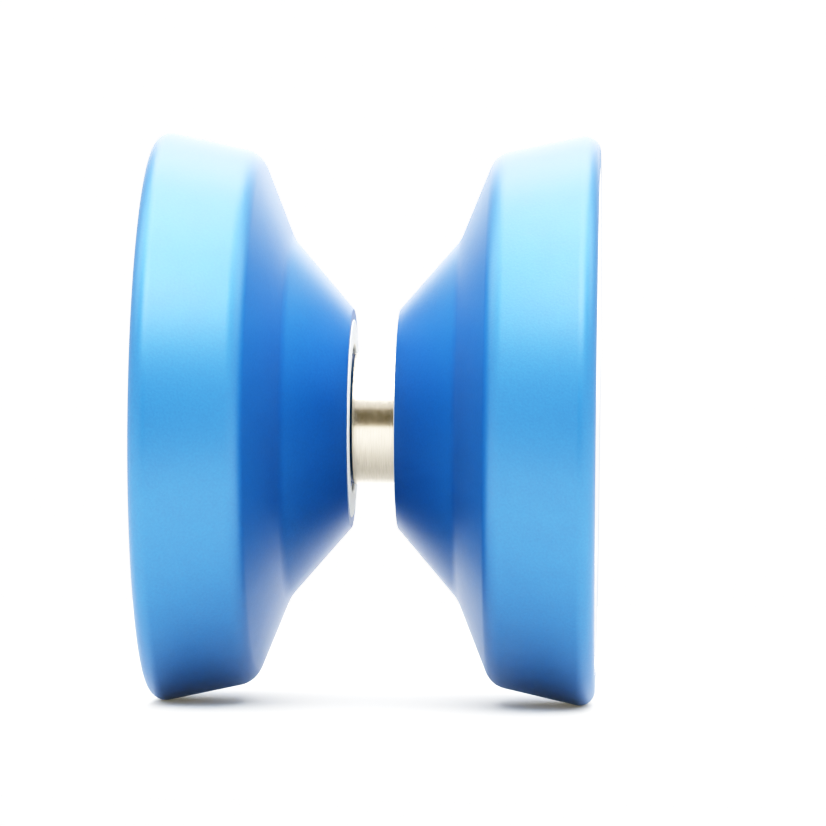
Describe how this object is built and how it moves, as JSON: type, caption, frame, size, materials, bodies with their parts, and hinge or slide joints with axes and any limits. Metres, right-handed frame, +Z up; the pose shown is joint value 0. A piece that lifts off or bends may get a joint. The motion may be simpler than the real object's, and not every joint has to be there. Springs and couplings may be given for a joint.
{
  "type": "ball-bearing yo-yo",
  "caption": "Take-apart metal yo-yo: wide flared halves on a threaded axle, with a shielded ball bearing in the string gap and response rings beside it.",
  "frame": {"origin": "centre of the bearing, which is the centre of the whole yo-yo", "axes": "+X along the spin axis towards the half that unscrews, +Z up as the yo-yo stands on its rims"},
  "size_m": [0.043, 0.055, 0.055],
  "materials": {
    "anodised_blue": "bead-blasted and anodised blue, satin",
    "response_silicone": "cast pale silicone, matte",
    "axle_steel": "plain stainless steel with rolled thread",
    "race_steel": "ground bearing steel, fine grinding lines around the axis",
    "cage_steel": "pressed steel",
    "shield_steel": "pressed stainless steel, satin",
    "spring_steel": "drawn spring wire",
    "ball_steel": "polished bearing ball"
  },
  "bodies": {
    "left_side": {"left_half": "anodised_blue", "left_response_pad": "response_silicone", "axle": "axle_steel", "bearing_inner_race": "race_steel"},
    "right_carriage": {"right_response_pad": "response_silicone"},
    "right_side": {"right_half": "anodised_blue"},
    "bearing_shell": {"bearing_outer_race": "race_steel", "left_shield": "shield_steel", "right_shield": "shield_steel", "left_snap_ring": "spring_steel", "right_snap_ring": "spring_steel"},
    "cage": {"ball_cage": "cage_steel"},
    "ball_1": {"bearing_ball_1": "ball_steel"},
    "ball_2": {"bearing_ball_2": "ball_steel"},
    "ball_3": {"bearing_ball_3": "ball_steel"},
    "ball_4": {"bearing_ball_4": "ball_steel"},
    "ball_5": {"bearing_ball_5": "ball_steel"},
    "ball_6": {"bearing_ball_6": "ball_steel"},
    "ball_7": {"bearing_ball_7": "ball_steel"},
    "ball_8": {"bearing_ball_8": "ball_steel"},
    "ball_9": {"bearing_ball_9": "ball_steel"},
    "ball_10": {"bearing_ball_10": "ball_steel"}
  },
  "joints": [
    {"name": "right_half_unscrew", "type": "hinge", "parent": "right_carriage", "child": "right_side", "pos_m": [0, 0, 0], "axis": [1, 0, 0], "range_deg": [0, 5220]},
    {"name": "right_half_travel", "type": "slide", "parent": "left_side", "child": "right_carriage", "axis": [1, 0, 0], "range_m": [0, 0.01016]},
    {"name": "bearing_spin", "type": "hinge", "parent": "left_side", "child": "bearing_shell", "pos_m": [0, 0, 0], "axis": [1, 0, 0], "continuous": true},
    {"name": "cage_orbit", "type": "hinge", "parent": "left_side", "child": "cage", "pos_m": [0, 0, 0], "axis": [1, 0, 0], "continuous": true},
    {"name": "ball_1_spin", "type": "hinge", "parent": "cage", "child": "ball_1", "pos_m": [0, 0, 0.00476], "axis": [1, 0, 0], "continuous": true},
    {"name": "ball_2_spin", "type": "hinge", "parent": "cage", "child": "ball_2", "pos_m": [0, 0.0028, 0.00385], "axis": [1, 0, 0], "continuous": true},
    {"name": "ball_3_spin", "type": "hinge", "parent": "cage", "child": "ball_3", "pos_m": [0, 0.00453, 0.00147], "axis": [1, 0, 0], "continuous": true},
    {"name": "ball_4_spin", "type": "hinge", "parent": "cage", "child": "ball_4", "pos_m": [0, 0.00453, -0.00147], "axis": [1, 0, 0], "continuous": true},
    {"name": "ball_5_spin", "type": "hinge", "parent": "cage", "child": "ball_5", "pos_m": [0, 0.0028, -0.00385], "axis": [1, 0, 0], "continuous": true},
    {"name": "ball_6_spin", "type": "hinge", "parent": "cage", "child": "ball_6", "pos_m": [0, 0, -0.00476], "axis": [1, 0, 0], "continuous": true},
    {"name": "ball_7_spin", "type": "hinge", "parent": "cage", "child": "ball_7", "pos_m": [0, -0.0028, -0.00385], "axis": [1, 0, 0], "continuous": true},
    {"name": "ball_8_spin", "type": "hinge", "parent": "cage", "child": "ball_8", "pos_m": [0, -0.00453, -0.00147], "axis": [1, 0, 0], "continuous": true},
    {"name": "ball_9_spin", "type": "hinge", "parent": "cage", "child": "ball_9", "pos_m": [0, -0.00453, 0.00147], "axis": [1, 0, 0], "continuous": true},
    {"name": "ball_10_spin", "type": "hinge", "parent": "cage", "child": "ball_10", "pos_m": [0, -0.0028, 0.00385], "axis": [1, 0, 0], "continuous": true}
  ],
  "couplings": [
    {"joint": "right_half_travel", "follows": "right_half_unscrew", "m_per_rad": 0.00011141},
    {"joint": "cage_orbit", "follows": "bearing_spin", "ratio": 0.58336},
    {"joint": "ball_1_spin", "follows": "bearing_spin", "ratio": 2.9157},
    {"joint": "ball_2_spin", "follows": "bearing_spin", "ratio": 2.9157},
    {"joint": "ball_3_spin", "follows": "bearing_spin", "ratio": 2.9157},
    {"joint": "ball_4_spin", "follows": "bearing_spin", "ratio": 2.9157},
    {"joint": "ball_5_spin", "follows": "bearing_spin", "ratio": 2.9157},
    {"joint": "ball_6_spin", "follows": "bearing_spin", "ratio": 2.9157},
    {"joint": "ball_7_spin", "follows": "bearing_spin", "ratio": 2.9157},
    {"joint": "ball_8_spin", "follows": "bearing_spin", "ratio": 2.9157},
    {"joint": "ball_9_spin", "follows": "bearing_spin", "ratio": 2.9157},
    {"joint": "ball_10_spin", "follows": "bearing_spin", "ratio": 2.9157}
  ]
}
